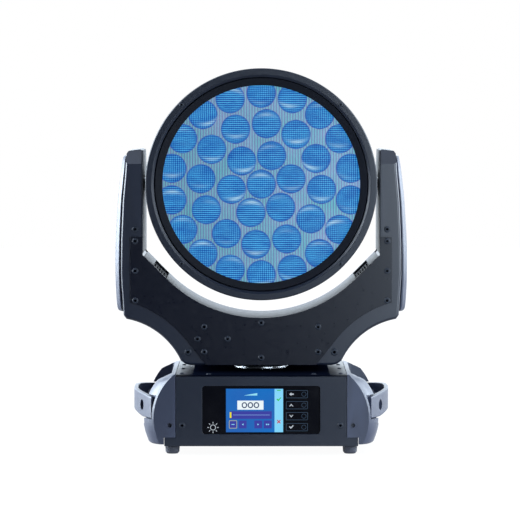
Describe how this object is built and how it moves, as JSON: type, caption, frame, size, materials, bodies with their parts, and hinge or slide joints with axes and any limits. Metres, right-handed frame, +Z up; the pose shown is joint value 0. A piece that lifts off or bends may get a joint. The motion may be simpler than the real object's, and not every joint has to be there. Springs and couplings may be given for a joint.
{
  "type": "moving head light",
  "caption": "Moving head wash light: round multi-lens head that tilts in a yoke, which pans on a box base with a display, keys, side handles and rubber feet.",
  "frame": {"origin": "on the pan axis at floor level, midway between the base's front and rear panels", "axes": "+Z up along the pan axis; the display and, at rest, the glass face -Y; +X is to the right seen from the front; the tilt axis is parallel to X at z = 0.354"},
  "size_m": [0.388, 0.241, 0.5075],
  "materials": {
    "painted_sheet": "fine powder coat, satin, blue-black",
    "moulded_cover": "satin moulded plastic, blue-grey black",
    "dark_plate": "fine powder coat, near black",
    "rubber": "matt black rubber",
    "gloss_black": "gloss black",
    "screen": "lit colour screen under clear glass",
    "socket_plastic": "matt black plastic",
    "circuit_board": "solder mask green",
    "bare_aluminium": "turned or extruded, bare",
    "bright_steel": "ground",
    "front_glass": "clear ribbed glass",
    "lens_acrylic": "blue tinted micro-lens discs on a clear plate"
  },
  "bodies": {
    "base": {"base_chassis": "painted_sheet", "front_panel": "painted_sheet", "rear_panel": "painted_sheet", "top_cover": "painted_sheet", "side_cover_left": "moulded_cover", "side_cover_right": "moulded_cover", "handle_left": "moulded_cover", "handle_right": "moulded_cover", "foot_front_left": "rubber", "foot_front_right": "rubber", "foot_rear_left": "rubber", "foot_rear_right": "rubber", "display_fascia": "gloss_black", "lcd_screen": "screen", "control_board": "circuit_board", "power_supply": "bare_aluminium", "power_inlet": "socket_plastic", "power_outlet": "socket_plastic", "data_socket_in": "socket_plastic", "data_socket_out": "socket_plastic", "pan_hub": "bare_aluminium", "pan_pulley": "bare_aluminium", "pan_bearing": "bright_steel"},
    "yoke": {"yoke_frame": "moulded_cover", "yoke_front_plate": "dark_plate", "yoke_rear_plate": "dark_plate", "valley_liner": "dark_plate", "arm_plate_left": "dark_plate", "arm_plate_right": "dark_plate", "arm_cover_left": "moulded_cover", "arm_cover_right": "moulded_cover", "vent_grille_left": "gloss_black", "vent_grille_right": "gloss_black", "pan_motor": "bright_steel", "pan_belt": "rubber", "tilt_motor": "bright_steel", "tilt_belt": "rubber", "tilt_bearing_left": "bright_steel", "tilt_bearing_right": "bright_steel"},
    "pan_pinion": {"pan_motor_pulley": "bare_aluminium"},
    "tilt_pinion": {"tilt_motor_pulley": "bare_aluminium"},
    "head": {"head_bezel": "painted_sheet", "clamp_ring": "dark_plate", "front_glass": "front_glass", "head_shell": "moulded_cover", "rear_cover": "moulded_cover", "led_board": "circuit_board", "heat_sink": "bare_aluminium", "fan_frame": "socket_plastic", "zoom_motor": "bright_steel", "tilt_shaft_left": "bright_steel", "tilt_shaft_right": "bright_steel", "tilt_pulley": "bare_aluminium"},
    "lens_carriage": {"zoom_lens_plate": "lens_acrylic"},
    "zoom_drive": {"zoom_screw": "bright_steel"},
    "fan": {"fan_rotor": "socket_plastic"},
    "escape_key": {"key_escape": "gloss_black"},
    "next_key": {"key_next": "gloss_black"},
    "previous_key": {"key_previous": "gloss_black"},
    "enter_key": {"key_enter": "gloss_black"}
  },
  "joints": [
    {"name": "pan", "type": "hinge", "parent": "base", "child": "yoke", "pos_m": [0, 0, 0.114], "axis": [0, 0, 1], "range_deg": [-225, 225]},
    {"name": "tilt", "type": "hinge", "parent": "yoke", "child": "head", "pos_m": [0, 0, 0.354], "axis": [-1, 0, 0], "range_deg": [-60, 240]},
    {"name": "pan_pinion_spin", "type": "hinge", "parent": "yoke", "child": "pan_pinion", "pos_m": [-0.085, 0, 0.121], "axis": [0, 0, 1], "range_deg": [-1141, 1141]},
    {"name": "tilt_pinion_spin", "type": "hinge", "parent": "yoke", "child": "tilt_pinion", "pos_m": [0.162, 0, 0.186], "axis": [-1, 0, 0], "range_deg": [-225, 897]},
    {"name": "zoom", "type": "slide", "parent": "head", "child": "lens_carriage", "axis": [0, 1, 0], "range_m": [0, 0.018]},
    {"name": "zoom_screw_spin", "type": "hinge", "parent": "head", "child": "zoom_drive", "pos_m": [0.067, -0.0264, 0.23795], "axis": [0, 1, 0], "range_deg": [0, 811]},
    {"name": "fan_spin", "type": "hinge", "parent": "head", "child": "fan", "pos_m": [0, 0.038, 0.354], "axis": [0, 1, 0], "continuous": true},
    {"name": "escape_press", "type": "slide", "parent": "base", "child": "escape_key", "axis": [0, 1, 0], "range_m": [0, 0.0008]},
    {"name": "next_press", "type": "slide", "parent": "base", "child": "next_key", "axis": [0, 1, 0], "range_m": [0, 0.0008]},
    {"name": "previous_press", "type": "slide", "parent": "base", "child": "previous_key", "axis": [0, 1, 0], "range_m": [0, 0.0008]},
    {"name": "enter_press", "type": "slide", "parent": "base", "child": "enter_key", "axis": [0, 1, 0], "range_m": [0, 0.0008]}
  ],
  "couplings": [
    {"joint": "pan_pinion_spin", "follows": "pan", "ratio": -5.0667},
    {"joint": "tilt_pinion_spin", "follows": "tilt", "ratio": 3.7333},
    {"joint": "zoom_screw_spin", "follows": "zoom", "rad_per_m": 785.4}
  ]
}
